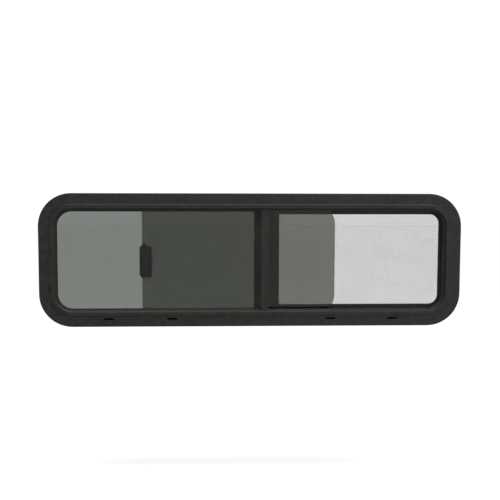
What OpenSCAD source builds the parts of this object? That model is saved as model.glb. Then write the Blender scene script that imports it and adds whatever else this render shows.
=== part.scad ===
// Half-slider window with rounded corners for the rear wall of a truck camper.
// X runs to the right as seen from outside, Z up, and -Y points outdoors.
// The origin lies on the back face of the flange, at the middle of the sill and of the flange's lap.
// Sections are drawn as [distance in from the frame's outer edge, height above the wall's outer face].

/* [Frame outline] */
// Overall width over the outside flange
frame_w = 1219; // [1100:1:1500]
// Overall height over the outside flange
frame_h = 385; // [350:1:600]
// Corner radius of the flange's outer edge
corner_r = 95; // [90:1:110]
// Thickness of the wall that is clamped
wall_t = 36; // [34:0.5:60]

/* [Frame section] */
// Thickness of the flange
flange_t = 3; // [2.5:0.1:4]
// How far the flange laps over the wall
flange_lap = 17.5; // [14:0.5:19]
// Width of the flat flange, up to the foot of its raised bead
flange_w = 31; // [29:0.5:32]
// Width of the raised bead
bead_w = 12; // [10:0.5:13]
// Height of the raised bead above the flange
bead_h = 2.5; // [1.5:0.1:4]
// Width of the sloping reveal inside the bead
reveal_w = 4; // [3:0.5:5]
// Depth of the reveal, from the bead to the glazing lip
reveal_drop = 8.5; // [7:0.1:9]
// Width of the glazing lip
lip_w = 3; // [2.5:0.1:4]
// Thickness of the frame's walls
wall_thick = 2; // [1.6:0.1:2.4]
// Thickness of the frame's inner webs
web_t = 1.5; // [1.2:0.1:2]
// Depth of both glass channels below the glazing lip
channel_depth = 15.5; // [15:0.1:17]
// How far the webs stand back from the glazing lip
web_setback = 2; // [1:0.1:3]
// Clear width of the screw race
race_w = 4; // [3.9:0.1:4.2]

/* [Weep slots] */
// Length of a weep slot
weep_l = 29; // [15:1:40]
// Height of a weep slot
weep_h = 5.6; // [3:0.1:6]
// Distance from the middle to the inner pair of slots
weep_inner_x = 230; // [150:1:300]
// Distance from the middle to the outer pair of slots
weep_outer_x = 411; // [350:1:450]

/* [Glass] */
// Thickness of both panes
glass_t = 4; // [3:0.1:5]
// Thickness of the gasket on each side of the fixed pane
gasket_t = 2.5; // [2:0.1:3]
// Thickness of the gasket under the fixed pane's edge
gasket_base = 5.3; // [4:0.1:6]
// Gap between the fixed pane's edge and the gasket
glass_gap = 0.2; // [0.1:0.1:0.5]
// How far the gasket's nose shows inside the lip
nose_w = 2.5; // [1.5:0.1:3]
// Width of the sliding pane
pane_w = 560; // [540:1:570]
// Corner radius at the sliding pane's closing edge
pane_r = 50; // [48:0.5:56]
// Left edge of the sliding pane, from the middle of the frame, as it stands half open
pane_x = -316.3; // [-330:0.1:-300]
// Gap under the sliding pane
pane_gap_sill = 0.5; // [0.3:0.1:1]
// Gap over the sliding pane, which lets it lift out
pane_gap_head = 2.5; // [2:0.1:4]

/* [Run channel] */
// Thickness of the lining on each side of the sliding pane
lining_t = 2; // [1.5:0.1:2.4]
// Height of the lips on the lining
lining_lip = 0.25; // [0.15:0.05:0.4]
// Running gap between a lining's lip and the pane
lining_gap = 0.5; // [0.3:0.05:0.8]
// Thickness of the lining's base
lining_base = 1.5; // [1:0.1:2]
// Height of the lining
lining_h = 11.5; // [9:0.5:12]
// Length of the stops that limit the opening
stop_l = 7.5; // [5:0.5:12]
// Height of the stops above the lining
stop_h = 8; // [5:0.5:9]
// How much thicker than the pane the stops and the closing seal are
stop_over = 0.4; // [0.2:0.1:0.6]
// Gap left at the closing seal when the pane is shut
closing_gap = 0.5; // [0.3:0.1:1]
// Width of opening at which the pane is shut, from the frame's outer edge to the glass
shut_inset = 45.5; // [45:0.1:48]

/* [Mullion] */
// How far the shut pane reaches past the left edge of the mullion's bead
pane_cover = 10; // [9:0.5:14]
// Width of the rubber bead
mullion_bead_w = 13; // [10:0.5:16]
// Width of the mullion's box
mullion_w = 21; // [18:0.5:24]
// Height of the mullion's face above the wall's outer face
mullion_face = 0.5; // [0:0.1:2]
// Length of the tongue that stands in the glass channel
tongue_l = 13.5; // [8:0.5:14.5]
// How far the fixed pane reaches past the bead's edge
mullion_bite = 10; // [6:0.5:11]
// Gap between the mullion's coped ends and the frame's reveal
cope_gap = 0.4; // [0.3:0.1:0.8]
// Distance of the tie screws from the middle of the mullion
tie_x = 5; // [4.4:0.1:5.6]
// Radius of the tie screws
tie_r = 1.9; // [1.5:0.1:2]
// How deep the tie screws go into the mullion's tongue
tie_reach = 12; // [8:0.5:13]

/* [Screen] */
// Width of the screen frame's bars
screen_bar = 15; // [12:0.5:18]
// Thickness of the screen frame
screen_t = 7; // [6:0.1:7.2]
// Inset of the screen from the frame's outer edge, at the right
screen_inset_side = 42.5; // [40:0.5:44]
// Inset of the screen from the frame's outer edge, at the head
screen_inset_head = 46; // [43:0.5:47]
// Inset of the screen from the frame's outer edge, at the sill
screen_inset_sill = 44.5; // [43:0.5:47]
// Corner radius of the screen at the right
screen_r = 42; // [35:1:48]
// Width of the post between the mullion and the screen
post_w = 16; // [12:0.5:20]
// Gap between the mullion's right face and the post
post_gap = 2; // [1:0.5:6]
// Width of the groove for the spline
groove_w = 3.4; // [3:0.1:4]
// Depth of the groove for the spline
groove_depth = 3.6; // [3:0.1:4.5]
// Width of the bar inside the groove
groove_wall = 2.5; // [2:0.1:3.5]
// Thickness of the mesh
mesh_t = 0.4; // [0.3:0.05:0.6]
// Distance of the clips from the middle of the screen
clip_x = 160; // [60:5:170]
// Width of a clip
clip_w = 14; // [8:0.5:20]
// Thickness of a clip's finger
clip_t = 2; // [1.5:0.1:2.4]
// How far a clip's finger reaches over the screen frame
clip_reach = 5; // [3:0.5:7]

/* [Clamp ring] */
// Thickness of the clamp ring
ring_t = 2; // [1.5:0.1:3]
// Width of the clamp ring's face
ring_w = 37; // [34:0.5:38]
// Width of the relief at the edge of the cut-out
relief_w = 1; // [0.6:0.1:2]
// Depth of the relief
relief_d = 0.5; // [0.3:0.1:0.8]
// Gap at the butt joints of the ring's lengths
joint_gap = 0.5; // [0.2:0.1:0.8]
// Spacing of the screws along the head and sill
screw_spacing = 240; // [150:5:245]
// Least distance of those screws from the corner bends
screw_end = 30; // [20:1:60]
// Distance of the jamb screws from the middle
jamb_screw_y = 60; // [20:1:75]

/* [Latch] */
// Width of the latch
latch_w = 35; // [32:0.5:38]
// Height of the latch
latch_h = 92; // [80:1:110]
// Height of the latch's middle above the middle of the frame
latch_y = -7; // [-30:1:30]
// How far the latch stands out past the pane's edge
latch_wrap = 7.5; // [7:0.1:9]
// Depth of the latch on the inside of the pane
latch_d = 13.5; // [13:0.1:16]
// Thickness of the latch's base plate
latch_base = 2; // [1.5:0.1:3]
// Thickness of the latch's outside half
clamp_t = 1.5; // [1.2:0.1:2]
// Height of the lever
lever_h = 54; // [40:1:60]
// Thickness of the lever
lever_t = 2.5; // [2:0.1:3]
// Radius of the lever's pin
pin_r = 1.5; // [1.2:0.05:2]
// Clearance round the lever's pin
pin_gap = 0.06; // [0.03:0.01:0.1]
// Depth of the barb behind the lever
barb_d = 4; // [3:0.1:5]
// Width of the barb
barb_w = 3; // [2:0.1:4]
// Travel of the latch's barb before it meets the keeper
latch_play = 1.5; // [1:0.1:3]
// Height of the keeper
keeper_h = 14; // [8:0.5:20]
// Thickness of the keeper
keeper_t = 1.5; // [1:0.1:2]

/* [Hidden] */
$fn = 96;
fillet_steps = 4;
touch = 0.01;

// Small radii of extruded edges
fine_r = 0.4;
edge_r = 0.6;
soft_r = 1;

// Gap between a soft part and the metal round it, and how far a cut runs past what it cuts
fit_gap = 0.1;
past = 1;

// Insets, counted inwards from the frame's outer edge
leg_in = flange_lap + wall_thick;
race_mid = leg_in + race_w / 2;
race_out = leg_in + race_w;
reveal_top = flange_w + bead_w;
reveal_foot = reveal_top + reveal_w;
lip_edge = reveal_foot + lip_w;
web_edge = lip_edge - web_setback;
web_r = web_t * 0.45;
floor_in = lip_edge - channel_depth;
chamber_top = floor_in - web_t;
base_in = floor_in + lining_base;
fixed_edge = floor_in + gasket_base + glass_gap;
ring_setback = 1;
ring_edge = ring_setback + ring_w;

// Levels, counted outwards from the wall's outer face
crest = flange_t + bead_h;
lip_front = crest - reveal_drop;
glazing_front = lip_front - wall_thick;
fixed_front = glazing_front - gasket_t;
fixed_back = fixed_front - glass_t;
glazing_back = fixed_back - gasket_t;
track_front = glazing_back - web_t;
pane_front = track_front - lining_t - lining_lip - lining_gap;
pane_back = pane_front - glass_t;
track_back = pane_back - lining_gap - lining_lip - lining_t;
screen_seat = track_back - web_t;
screen_back = screen_seat - screen_t;
leg_end = -wall_t;
ring_low = leg_end - ring_t;

// Plan positions, from the middle of the frame
straight_x = frame_w / 2 - corner_r;
straight_y = frame_h / 2 - corner_r;
pane_shut = frame_w / 2 - shut_inset - pane_w;
mullion_x = pane_shut + pane_cover;
box_x = mullion_x + mullion_bead_w;
mullion_mid = box_x + mullion_w / 2;
mullion_right = box_x + mullion_w;
post_x = mullion_right + post_gap;
screen_x = post_x + post_w;
screen_right = frame_w / 2 - screen_inset_side;
screen_bottom = -frame_h / 2 + screen_inset_sill;
screen_top = frame_h / 2 - screen_inset_head;
pane_bottom = -frame_h / 2 + base_in + pane_gap_sill;
pane_h = frame_h / 2 - base_in - pane_gap_head - pane_bottom;
mount_in = flange_lap / 2;

// Weep slots, which open just inside the leg
weep_clear = 0.4;
weep_in = leg_in + weep_clear + weep_h / 2;

// Noses of the gasket
nose_h = 1.5;
nose_tip = 1.4;
nose_drop = 0.4;

// Mullion: its back leg, the bead, the brush strip and the tie screws
back_leg_t = 1.5;
back_leg_in = 1;
lip_span = frame_h - 2 * lip_edge;
tongue_gap = 0.3;
bead_drop = 2;
bead_flat = 3;
strip_in = 2;
pile_base_w = 6;
pile_base_t = 1;
pile_w = 3;
pile_shift = 1;
tie_level = (glazing_front + glazing_back) / 2;
tie_head_r = 3.6;
tie_head_h = 2;
tie_access = 0.4;
tie_l = lip_edge - tongue_l - chamber_top + tie_reach;

// Run channel, its stops and the closing seal
lining_lip_w = 3;
lining_ramp = 1.5;
stop_t = glass_t + stop_over;
stop_low = (pane_front + pane_back - stop_t) / 2;
stop_r = 2;
seal_l = 2 * straight_y - 10;
seal_r = 1.8;
seal_bore = 1.1;
seal_bore_in = 2.8;

// Post and screen
post_end = ring_edge + 1;
post_lip = 3;
post_lip_t = 1.5;
post_l = frame_h - 2 * post_end;
post_head_r = 3.4;
post_head_h = 2;
post_head_in = 5;
groove_in = screen_bar - groove_wall - groove_w;
spline_proud = 0.8;
clip_gap = 0.5;

// Clamp ring and its screws
ring_bead_w = 5;
ring_bead_h = 1;
ring_bead_slope = 1;
ring_leg_in = race_out + web_t + 1;
ring_leg_h = 6;
ring_screw_r = race_w / 2 - 0.05;
ring_screw_play = 0.3;
ring_head_r = 4;
ring_head_h = 2.4;
ring_screw_l = 6.5;
screw_pairs = floor((straight_x - screw_end) / screw_spacing);

// Latch; x is counted from the pane's free edge
latch_back = pane_back - latch_d;
latch_right = latch_w - latch_wrap;
wrap_gap = 0.3;
cheek_gap = 0.5;
cheek_h = (latch_h - lever_h) / 2 - cheek_gap;
cheek_in = 1.5;
chamfer_x = 6;
chamfer_y = 7;
tab_w = 12;
tab_h = 8;
wall_low = 9;
wall_high = 3;
clamp_in_x = 8;
clamp_in_y = 4;
clamp_corner = 6;
latch_screw_y = 28;
latch_head_r = 2.6;
latch_head_h = 1;
pin_x = 3;
pin_in = 5;
pin_level = latch_back + pin_in;
pin_end = 4;
pin_top_gap = 0.3;
boss_w = 7;
boss_over = 2;
lever_in = 1;
plate_top = latch_back + lever_t;
barb_in = 2.5;
barb_x = latch_right - barb_w - barb_in;
barb_slope = 2.5;
rib_r = 0.7;
rib_pitch = 2.4;
rib_count = 5;
keeper_gap = 1;
hook_d = 3.5;
strip_level = plate_top + barb_d + keeper_gap;
hook_x = pane_shut + barb_x - latch_play;

// Outline helpers: a corner is [x, y] when sharp and [x, y, radius] when rounded
function flat2(p) = [p[0], p[1]];
function unit(v) = v / norm(v);
function turn(from, to) =
    let (t = (to - from) % 360)
    t > 180 ? t - 360 : t < -180 ? t + 360 : t;
function round_corner(a, b, c, r) =
    let (
        u = unit(a - b),
        v = unit(c - b),
        half = acos(u * v) / 2,
        centre = b + unit(u + v) * r / sin(half),
        p = b + u * r / tan(half) - centre,
        q = b + v * r / tan(half) - centre,
        from = atan2(p[1], p[0]),
        sweep = turn(from, atan2(q[1], q[0]))
    )
    [for (i = [0 : fillet_steps]) centre + r * [cos(from + sweep * i / fillet_steps),
                                                 sin(from + sweep * i / fillet_steps)]];
function rounded(points) =
    let (n = len(points))
    [for (i = [0 : n - 1]) each
        len(points[i]) < 3
            ? [flat2(points[i])]
            : round_corner(flat2(points[(i + n - 1) % n]), flat2(points[i]),
                           flat2(points[(i + 1) % n]), points[i][2])];

// Stands a window drawn lying on its back up on its sill
module upright() {
    translate([0, 0, frame_h / 2 - mount_in]) rotate([90, 0, 0]) children();
}

// The same at the sill and mirrored at the head
module sill_and_head() {
    for (side = [0, 1]) mirror([0, side, 0]) children();
}

// Straight length of a section along the sill
module sill_run(x0, x1) {
    translate([x0, -frame_h / 2, 0]) rotate([90, 0, 90]) linear_extrude(x1 - x0) children();
}

// Quarter bend of a section at the lower left corner
module corner_bend() {
    translate([-straight_x, -straight_y, 0]) rotate([0, 0, 180]) rotate_extrude(angle = 90)
        translate([corner_r, 0]) mirror([1, 0]) children();
}

// Straight length of a section up the left jamb
module jamb_run() {
    translate([-frame_w / 2, straight_y, 0]) rotate([90, 0, 0]) linear_extrude(2 * straight_y) children();
}

// A section bent round the left half of the frame, with its head and sill ending at x_end
module bent_left(x_end) {
    sill_and_head() {
        if (x_end > -straight_x) sill_run(-straight_x, x_end) children();
        corner_bend() children();
    }
    jamb_run() children();
}

// A section bent right round the frame
module bent_ring() {
    for (side = [0, 1]) mirror([side, 0, 0]) bent_left(0) children();
}

// A plan outline of [x, level] drawn up the window over a length, about its middle
module stile(length) {
    translate([0, length / 2, 0]) rotate([90, 0, 0]) linear_extrude(length) children();
}

// The frame's outline drawn in by an inset
module frame_outline(inset) {
    r = corner_r - inset;
    square([2 * straight_x, frame_h - 2 * inset], center = true);
    square([frame_w - 2 * inset, 2 * straight_y], center = true);
    for (x = [-straight_x, straight_x], y = [-straight_y, straight_y]) translate([x, y]) circle(r);
}

// A plate with square corners at the left and rounded ones at the right
module half_round_plate(x0, y0, x1, y1, r) {
    translate([x0, y0]) square([x1 - x0 - r, y1 - y0]);
    translate([x0, y0 + r]) square([x1 - x0, y1 - y0 - 2 * r]);
    for (y = [y0 + r, y1 - r]) translate([x1 - r, y]) circle(r);
}

// Layer between two levels
module layer(low, high) {
    translate([0, 0, low]) linear_extrude(high - low) children();
}

// Slot with round ends
module stadium(l, h) {
    square([l - h, h], center = true);
    for (x = [-1, 1]) translate([x * (l - h) / 2, 0]) circle(h / 2);
}

// Domed screw head
module pan_head(r, h) {
    rotate_extrude() polygon(rounded([[0, 0], [r, 0], [r, h, h * 0.6], [0, h]]));
}

// Frame: one bent extrusion with a drain chamber, a glazing channel, a track and a screw race
module frame_section() {
    polygon(rounded([
        [0, 0],
        [flange_lap, 0],
        [flange_lap, leg_end],
        [leg_in, leg_end],
        [leg_in, screen_seat],
        [race_out, screen_seat],
        [race_out, leg_end],
        [race_out + web_t, leg_end],
        [race_out + web_t, screen_seat],
        [web_edge, screen_seat, web_r],
        [web_edge, track_back, web_r],
        [floor_in, track_back],
        [floor_in, track_front],
        [web_edge, track_front, web_r],
        [web_edge, glazing_back, web_r],
        [floor_in, glazing_back],
        [floor_in, crest - wall_thick],
        [reveal_top - wall_thick, crest - wall_thick],
        [reveal_foot - wall_thick, glazing_front],
        [lip_edge, glazing_front, fine_r],
        [lip_edge, lip_front, soft_r * 0.8],
        [reveal_foot, lip_front, edge_r],
        [reveal_top, crest, soft_r],
        [flange_w + bead_h / 2, crest, soft_r],
        [flange_w, flange_t, edge_r],
        [0, flange_t, flange_t * 0.8]
    ]));
}

module drain_chamber_section() {
    translate([leg_in, track_back])
        square([chamber_top - leg_in, flange_t - wall_thick - track_back]);
}

// Slots through the sill's flange, and through the floor of the channels behind it
module weep_cuts() {
    for (x = [-weep_outer_x, -weep_inner_x, weep_inner_x, weep_outer_x]) {
        translate([x, -frame_h / 2 + weep_in, flange_t - wall_thick - past])
            linear_extrude(wall_thick + 2 * past) stadium(weep_l, weep_h);
        for (level = [(fixed_front + fixed_back) / 2, (pane_front + pane_back) / 2])
            translate([x, -frame_h / 2 + floor_in + past, level]) rotate([90, 0, 0])
                linear_extrude(web_t + 2 * past) stadium(weep_l / 2, weep_h / 2);
    }
}

// Places of the tie screws, in the drain chamber under the glazing channel, pointing into the frame
module at_tie_screws() {
    sill_and_head() for (x = [-1, 1])
        translate([mullion_mid + x * tie_x, -frame_h / 2 + chamber_top, tie_level])
            rotate([-90, 0, 0]) children();
}

// Bore of a tie screw through the chamber's top, and the hole in the leg that a driver goes through
module tie_screw_cut() {
    translate([0, 0, -past]) cylinder(r = tie_r + fit_gap, h = web_t + 2 * past);
    translate([0, 0, flange_lap - chamber_top - past])
        cylinder(r = tie_head_r + tie_access, h = wall_thick + 2 * past);
}

module outer_frame() {
    color("#2b2b2a") upright() difference() {
        bent_ring() difference() {
            frame_section();
            drain_chamber_section();
        }
        weep_cuts();
        at_tie_screws() tie_screw_cut();
    }
}

// Fixed pane in the left half
module fixed_glass() {
    color("#5c6360", 0.6) upright() layer(fixed_back, fixed_front) intersection() {
        frame_outline(fixed_edge);
        translate([-frame_w / 2, -frame_h / 2]) square([frame_w / 2 + mullion_x + mullion_bite, frame_h]);
    }
}

// Gasket round three sides of the fixed pane, with a nose that shows inside the lip
module glazing_gasket_section() {
    polygon(rounded([
        [floor_in + fit_gap, glazing_back],
        [web_edge, glazing_back],
        [web_edge, fixed_back, edge_r],
        [fixed_edge - glass_gap, fixed_back],
        [fixed_edge - glass_gap, fixed_front],
        [lip_edge + nose_w, fixed_front],
        [lip_edge + nose_w, fixed_front + nose_h, edge_r],
        [lip_edge + nose_tip, lip_front - nose_drop, edge_r],
        [lip_edge + fit_gap, lip_front - nose_drop, fine_r],
        [lip_edge + fit_gap, glazing_front],
        [floor_in + fit_gap, glazing_front]
    ]));
}

module glazing_gasket() {
    color("#1d1e1a") upright() bent_left(box_x - 5 * fit_gap) glazing_gasket_section();
}

// Mullion: a box extrusion with a leg behind the fixed pane's edge
module mullion_section() {
    difference() {
        polygon(rounded([
            [mullion_x + back_leg_in, glazing_back],
            [mullion_right, glazing_back],
            [mullion_right, mullion_face, soft_r],
            [box_x, mullion_face, soft_r],
            [box_x, glazing_back + back_leg_t],
            [mullion_x + back_leg_in, glazing_back + back_leg_t]
        ]));
        translate([box_x + wall_thick, glazing_back + wall_thick])
            square([mullion_w - 2 * wall_thick, mullion_face - glazing_back - 2 * wall_thick]);
    }
}

// Side view of the mullion's end, coped to the slope of the frame's reveal
module mullion_cope_section() {
    cope_top = reveal_foot - reveal_w * (mullion_face - lip_front) / reveal_drop;
    polygon([
        [lip_edge + past, lip_front],
        [reveal_foot + cope_gap, lip_front],
        [cope_top + cope_gap, mullion_face],
        [lip_edge + past, mullion_face]
    ]);
}

// The mullion's tongue in the glazing channel, bored for the tie screws
module mullion_tongue() {
    difference() {
        translate([box_x + wall_thick, -lip_span / 2 - tongue_l, glazing_back])
            cube([mullion_w - 2 * wall_thick, tongue_l + wall_thick,
                  glazing_front - glazing_back - tongue_gap]);
        for (x = [-1, 1])
            translate([mullion_mid + x * tie_x, -lip_span / 2 - tongue_l - past, tie_level])
                rotate([-90, 0, 0]) cylinder(r = tie_r + fit_gap / 2, h = tongue_l + wall_thick + 2 * past);
    }
}

module mullion() {
    color("#30302f") upright() {
        stile(lip_span) mullion_section();
        sill_and_head() {
            mullion_tongue();
            sill_run(box_x, mullion_right) mullion_cope_section();
        }
    }
}

// Rubber bead on the outside of the fixed pane's free edge, and the strip behind it
module mullion_bead() {
    color("#23241e") upright() stile(lip_span - 2 * (nose_w + fit_gap)) {
        polygon(rounded([
            [mullion_x, fixed_front],
            [box_x, fixed_front],
            [box_x, mullion_face - bead_drop],
            [box_x - bead_flat, mullion_face - bead_drop, soft_r],
            [mullion_x, fixed_front + bead_drop, soft_r]
        ]));
        translate([mullion_x + strip_in, glazing_back + back_leg_t])
            square([mullion_bite - strip_in, gasket_t - back_leg_t]);
    }
}

// Brush strip on the back of the mullion, which wipes the sliding pane
module mullion_pile() {
    brush_h = glazing_back - pile_base_t - pane_front - lining_gap;
    color("#3a3a38") upright() stile(lip_span)
        translate([mullion_mid - pile_shift, glazing_back - pile_base_t]) {
            translate([-pile_base_w / 2, 0]) square([pile_base_w, pile_base_t]);
            translate([-pile_w / 2, -brush_h]) square([pile_w, brush_h]);
        }
}

module mullion_screws() {
    color("#8b8d8a") upright() at_tie_screws() {
        mirror([0, 0, 1]) pan_head(tie_head_r, tie_head_h);
        cylinder(r = tie_r, h = tie_l);
    }
}

// Pile-lined run channel for the sliding pane
module run_channel_section() {
    top = floor_in + lining_h;
    lip = lining_t + lining_lip;
    polygon(rounded([
        [floor_in, track_back],
        [top, track_back, fine_r],
        [top, track_back + lip, fine_r],
        [top - lining_lip_w, track_back + lip, fine_r],
        [top - lining_lip_w - lining_ramp, track_back + lining_t],
        [base_in, track_back + lining_t],
        [base_in, track_front - lining_t],
        [top - lining_lip_w - lining_ramp, track_front - lining_t],
        [top - lining_lip_w, track_front - lip, fine_r],
        [top, track_front - lip, fine_r],
        [top, track_front, fine_r],
        [floor_in, track_front]
    ]));
}

module run_channel_sill() {
    color("#262723") upright() sill_run(-straight_x, straight_x) run_channel_section();
}

module run_channel_head() {
    color("#262723") upright() mirror([0, 1, 0]) sill_run(-straight_x, straight_x) run_channel_section();
}

module run_channel_jamb() {
    color("#262723") upright() mirror([1, 0, 0]) bent_left(-straight_x) run_channel_section();
}

// Hollow bulb at the bottom of the right jamb's channel, which the shut pane meets
module closing_seal() {
    nose = frame_w / 2 - shut_inset + closing_gap;
    color("#1d1e1a") upright() stile(seal_l) difference() {
        polygon(rounded([
            [nose, stop_low, seal_r],
            [nose, stop_low + stop_t, seal_r],
            [frame_w / 2 - base_in, stop_low + stop_t],
            [frame_w / 2 - base_in, stop_low]
        ]));
        translate([nose + seal_bore_in, stop_low + stop_t / 2]) circle(seal_bore);
    }
}

// Rubber blocks in the run channels that stop the pane when it is wide open
module pane_stops() {
    color("#1d1e1a") upright() sill_and_head() layer(stop_low, stop_low + stop_t)
        translate([-straight_x, -frame_h / 2 + base_in])
            polygon(rounded([[0, 0], [stop_l, 0], [stop_l, stop_h, stop_r], [0, stop_h, stop_r]]));
}

// Post beside the mullion, on the inside, with a lip that holds the screen's stile
module screen_post() {
    color("#2e2e2d") upright() stile(post_l)
        polygon(rounded([
            [post_x, screen_seat],
            [screen_x, screen_seat],
            [screen_x, screen_back],
            [screen_x + post_lip, screen_back],
            [screen_x + post_lip, screen_back - post_lip_t, edge_r],
            [post_x, screen_back - post_lip_t, soft_r]
        ]));
}

module screen_post_screws() {
    color("#8b8d8a") upright() sill_and_head()
        translate([post_x + post_w / 2, -post_l / 2 + post_head_in, screen_back - post_lip_t])
            mirror([0, 0, 1]) pan_head(post_head_r, post_head_h);
}

// Insect screen: frame, spline groove, spline and mesh
module screen_outline(inset) {
    half_round_plate(screen_x + inset, screen_bottom + inset, screen_right - inset, screen_top - inset,
                     screen_r - inset);
}

module screen_frame() {
    color("#2f2f2e") upright() difference() {
        layer(screen_back, screen_seat) difference() {
            screen_outline(0);
            screen_outline(screen_bar);
        }
        layer(screen_back - past, screen_back + groove_depth) difference() {
            screen_outline(groove_in);
            screen_outline(groove_in + groove_w);
        }
    }
}

module screen_spline() {
    color("#1b1b1a") upright() layer(screen_back - spline_proud, screen_back + groove_depth - 2 * fit_gap)
        difference() {
            screen_outline(groove_in + fit_gap);
            screen_outline(groove_in + groove_w - fit_gap);
        }
}

module screen_mesh() {
    color("#8e908e", 0.4) upright() layer(screen_back - mesh_t, screen_back)
        screen_outline(groove_in + groove_w);
}

// Clips on the inner web that hold the screen's head and sill rails
module screen_clips() {
    color("#232322") upright() for (x = [-1, 1], side = [0, 1]) mirror([0, side, 0]) {
        rail_in = side == 0 ? screen_inset_sill : screen_inset_head;
        foot = rail_in - ring_edge - 2 * clip_gap;
        translate([(screen_x + screen_right) / 2 + x * clip_x - clip_w / 2,
                   -frame_h / 2 + ring_edge + clip_gap, screen_back - clip_t]) {
            cube([clip_w, foot, screen_t + clip_t]);
            cube([clip_w, foot + clip_reach, clip_t]);
        }
    }
}

// Clamp ring on the inside of the wall: a straight length at the head and sill and a bent one at each side
module clamp_ring_section() {
    polygon(rounded([
        [ring_setback, leg_end],
        [ring_setback, ring_low, ring_t * 0.8],
        [ring_edge - ring_bead_w, ring_low],
        [ring_edge - ring_bead_w + ring_bead_slope, ring_low - ring_bead_h, fine_r],
        [ring_edge, ring_low - ring_bead_h, soft_r],
        [ring_edge, leg_end, fine_r],
        [ring_leg_in + web_t, leg_end],
        [ring_leg_in + web_t, leg_end + ring_leg_h],
        [ring_leg_in, leg_end + ring_leg_h],
        [ring_leg_in, leg_end],
        [flange_lap, leg_end],
        [flange_lap, leg_end - relief_d],
        [flange_lap - relief_w, leg_end - relief_d],
        [flange_lap - relief_w, leg_end]
    ]));
}

// Places of the screws over the frame's screw race, along the sill and up the left jamb
module at_rail_screws() {
    for (i = [-screw_pairs : screw_pairs])
        translate([i * screw_spacing, -frame_h / 2 + race_mid, ring_low]) children();
}

module at_jamb_screws() {
    for (y = [-1, 1])
        translate([-frame_w / 2 + race_mid, y * jamb_screw_y, ring_low]) children();
}

module ring_screw_bore() {
    translate([0, 0, -past]) cylinder(r = ring_screw_r + ring_screw_play, h = ring_t + 2 * past);
}

module ring_rail() {
    difference() {
        sill_run(-straight_x + joint_gap, straight_x - joint_gap) clamp_ring_section();
        at_rail_screws() ring_screw_bore();
    }
}

module ring_end() {
    difference() {
        bent_left(-straight_x) clamp_ring_section();
        at_jamb_screws() ring_screw_bore();
    }
}

module clamp_ring_sill() {
    color("#343433") upright() ring_rail();
}

module clamp_ring_head() {
    color("#343433") upright() mirror([0, 1, 0]) ring_rail();
}

module clamp_ring_left() {
    color("#343433") upright() ring_end();
}

module clamp_ring_right() {
    color("#343433") upright() mirror([1, 0, 0]) ring_end();
}

module ring_screw() {
    mirror([0, 0, 1]) pan_head(ring_head_r, ring_head_h);
    cylinder(r = ring_screw_r, h = ring_t + ring_screw_l);
}

module clamp_ring_screws() {
    color("#7d7f7c") upright() {
        sill_and_head() at_rail_screws() ring_screw();
        for (side = [0, 1]) mirror([side, 0, 0]) at_jamb_screws() ring_screw();
    }
}

// Sliding pane, with square corners at the latch and rounded ones at the closing edge
module sliding_glass() {
    color("#4f5653", 0.6) upright() layer(pane_back, pane_front)
        half_round_plate(pane_x, pane_bottom, pane_x + pane_w, pane_bottom + pane_h, pane_r);
}

module at_latch() {
    translate([pane_x, latch_y, 0]) children();
}

// Face outline of the latch, with a chamfered corner and a small tab on top
module latch_outline() {
    polygon(rounded([
        [-latch_wrap, latch_h / 2, 2 * soft_r],
        [-latch_wrap, -latch_h / 2 + chamfer_y, soft_r],
        [-latch_wrap + chamfer_x, -latch_h / 2, soft_r],
        [latch_right, -latch_h / 2, 3 * soft_r],
        [latch_right, latch_h / 2, 3 * soft_r]
    ]));
    translate([-past, latch_h / 2 - past]) square([tab_w, tab_h + past]);
}

// Bore for the lever's pin, blind at the bottom and open at the top
module pin_bore() {
    translate([pin_x, -latch_h / 2 + pin_end, pin_level]) rotate([-90, 0, 0])
        cylinder(r = pin_r + pin_gap, h = latch_h - pin_end + past);
}

// Latch body: a base plate behind the pane, cheeks above and below the lever, and a wall past the pane's edge
module latch_body() {
    color("#1f1f1e") upright() at_latch() difference() {
        union() {
            layer(pane_back - latch_base, pane_back) latch_outline();
            for (side = [0, 1]) mirror([0, side, 0])
                layer(latch_back + cheek_in, pane_back - latch_base + touch) intersection() {
                    mirror([0, side]) latch_outline();
                    translate([-latch_wrap, -latch_h / 2]) square([latch_w, cheek_h]);
                }
            layer(pane_back - latch_base, pane_front) translate([-latch_wrap, -latch_h / 2 + wall_low])
                square([latch_wrap - wrap_gap, latch_h - wall_low - wall_high]);
        }
        pin_bore();
    }
}

// Outside half of the latch, screwed to the body past the pane's edge
module latch_clamp() {
    right = latch_right - clamp_in_x;
    low = -latch_h / 2 + clamp_in_y;
    color("#1f1f1e") upright() at_latch() layer(pane_front, pane_front + clamp_t)
        polygon(rounded([
            [-latch_wrap, latch_h / 2 - clamp_in_y, 2 * soft_r],
            [-latch_wrap, low + clamp_corner, 2 * soft_r],
            [-latch_wrap + clamp_corner, low, soft_r],
            [right, low, 3 * soft_r],
            [right, latch_h / 2 - clamp_in_y, 3 * soft_r]
        ]));
}

module latch_screws() {
    color("#6f706e") upright() at_latch() for (y = [-1, 1])
        translate([-(latch_wrap + wrap_gap) / 2, y * latch_screw_y, pane_front + clamp_t])
            pan_head(latch_head_r, latch_head_h);
}

module latch_pin() {
    color("#9a9b98") upright() at_latch() translate([pin_x, -latch_h / 2 + pin_end + pin_gap, pin_level])
        rotate([-90, 0, 0]) cylinder(r = pin_r, h = latch_h - pin_end - pin_gap - pin_top_gap);
}

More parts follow.
